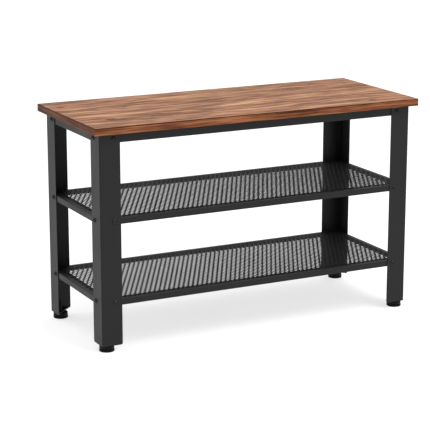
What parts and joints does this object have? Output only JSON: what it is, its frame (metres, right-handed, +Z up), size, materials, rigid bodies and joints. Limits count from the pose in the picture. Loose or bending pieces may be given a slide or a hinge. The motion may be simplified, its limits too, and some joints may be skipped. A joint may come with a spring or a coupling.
{
  "type": "entryway bench",
  "caption": "Entryway shoe bench with a rectangular wood-look seat board on bent steel angle legs, open expanded-metal shelves below and screw-in levelling feet.",
  "frame": {"origin": "on the floor under the middle of the seat board, with the feet screwed fully in", "axes": "+X along the seat's length, +Y from front to back, +Z up; the front is at -Y"},
  "size_m": [0.7366, 0.3048, 0.4572],
  "materials": {
    "seat_laminate": "printed wood-grain laminate, satin, warm reddish brown with tan and grey-brown streaks",
    "edge_band": "printed wood-grain edge band, satin",
    "powder_coat": "fine satin black powder coat",
    "shelf_mesh": "black powder coat over expanded steel",
    "bolt_black": "black plated button head",
    "zinc_plate": "bright zinc plate",
    "foot_stud": "black-plated threaded rod",
    "foot_plastic": "moulded black plastic"
  },
  "bodies": {
    "bench": {"seat_panel": "seat_laminate", "seat_band_front": "edge_band", "seat_band_back": "edge_band", "seat_band_left": "edge_band", "seat_band_right": "edge_band", "leg_front_left": "powder_coat", "leg_front_right": "powder_coat", "leg_back_left": "powder_coat", "leg_back_right": "powder_coat", "foot_plate_front_left": "powder_coat", "foot_plate_front_right": "powder_coat", "foot_plate_back_left": "powder_coat", "foot_plate_back_right": "powder_coat", "seat_rail_front": "powder_coat", "seat_rail_back": "powder_coat", "seat_rail_left": "powder_coat", "seat_rail_right": "powder_coat", "upper_shelf_rail_front": "powder_coat", "upper_shelf_rail_back": "powder_coat", "upper_shelf_rail_left": "powder_coat", "upper_shelf_rail_right": "powder_coat", "upper_shelf_mesh": "shelf_mesh", "lower_shelf_rail_front": "powder_coat", "lower_shelf_rail_back": "powder_coat", "lower_shelf_rail_left": "powder_coat", "lower_shelf_rail_right": "powder_coat", "lower_shelf_mesh": "shelf_mesh", "seat_frame_bolts": "bolt_black", "upper_shelf_bolts": "bolt_black", "lower_shelf_bolts": "bolt_black", "seat_frame_nuts": "powder_coat", "upper_shelf_nuts": "powder_coat", "lower_shelf_nuts": "powder_coat", "seat_screws": "zinc_plate"},
    "stud_front_left": {"foot_stud_front_left": "foot_stud"},
    "pad_front_left": {"foot_pad_front_left": "foot_plastic"},
    "stud_front_right": {"foot_stud_front_right": "foot_stud"},
    "pad_front_right": {"foot_pad_front_right": "foot_plastic"},
    "stud_back_left": {"foot_stud_back_left": "foot_stud"},
    "pad_back_left": {"foot_pad_back_left": "foot_plastic"},
    "stud_back_right": {"foot_stud_back_right": "foot_stud"},
    "pad_back_right": {"foot_pad_back_right": "foot_plastic"}
  },
  "joints": [
    {"name": "foot_rise_front_left", "type": "slide", "parent": "bench", "child": "stud_front_left", "axis": [0, 0, 1], "range_m": [-0.015, 0]},
    {"name": "foot_turn_front_left", "type": "hinge", "parent": "stud_front_left", "child": "pad_front_left", "pos_m": [-0.3388, -0.1239, 0], "axis": [0, 0, 1], "range_deg": [-5400, 0]},
    {"name": "foot_rise_front_right", "type": "slide", "parent": "bench", "child": "stud_front_right", "axis": [0, 0, 1], "range_m": [-0.015, 0]},
    {"name": "foot_turn_front_right", "type": "hinge", "parent": "stud_front_right", "child": "pad_front_right", "pos_m": [0.3388, -0.1239, 0], "axis": [0, 0, 1], "range_deg": [-5400, 0]},
    {"name": "foot_rise_back_left", "type": "slide", "parent": "bench", "child": "stud_back_left", "axis": [0, 0, 1], "range_m": [-0.015, 0]},
    {"name": "foot_turn_back_left", "type": "hinge", "parent": "stud_back_left", "child": "pad_back_left", "pos_m": [-0.3388, 0.1239, 0], "axis": [0, 0, 1], "range_deg": [-5400, 0]},
    {"name": "foot_rise_back_right", "type": "slide", "parent": "bench", "child": "stud_back_right", "axis": [0, 0, 1], "range_m": [-0.015, 0]},
    {"name": "foot_turn_back_right", "type": "hinge", "parent": "stud_back_right", "child": "pad_back_right", "pos_m": [0.3388, 0.1239, 0], "axis": [0, 0, 1], "range_deg": [-5400, 0]}
  ],
  "couplings": [
    {"joint": "foot_rise_front_left", "follows": "foot_turn_front_left", "m_per_rad": 0.00015915},
    {"joint": "foot_rise_front_right", "follows": "foot_turn_front_right", "m_per_rad": 0.00015915},
    {"joint": "foot_rise_back_left", "follows": "foot_turn_back_left", "m_per_rad": 0.00015915},
    {"joint": "foot_rise_back_right", "follows": "foot_turn_back_right", "m_per_rad": 0.00015915}
  ]
}
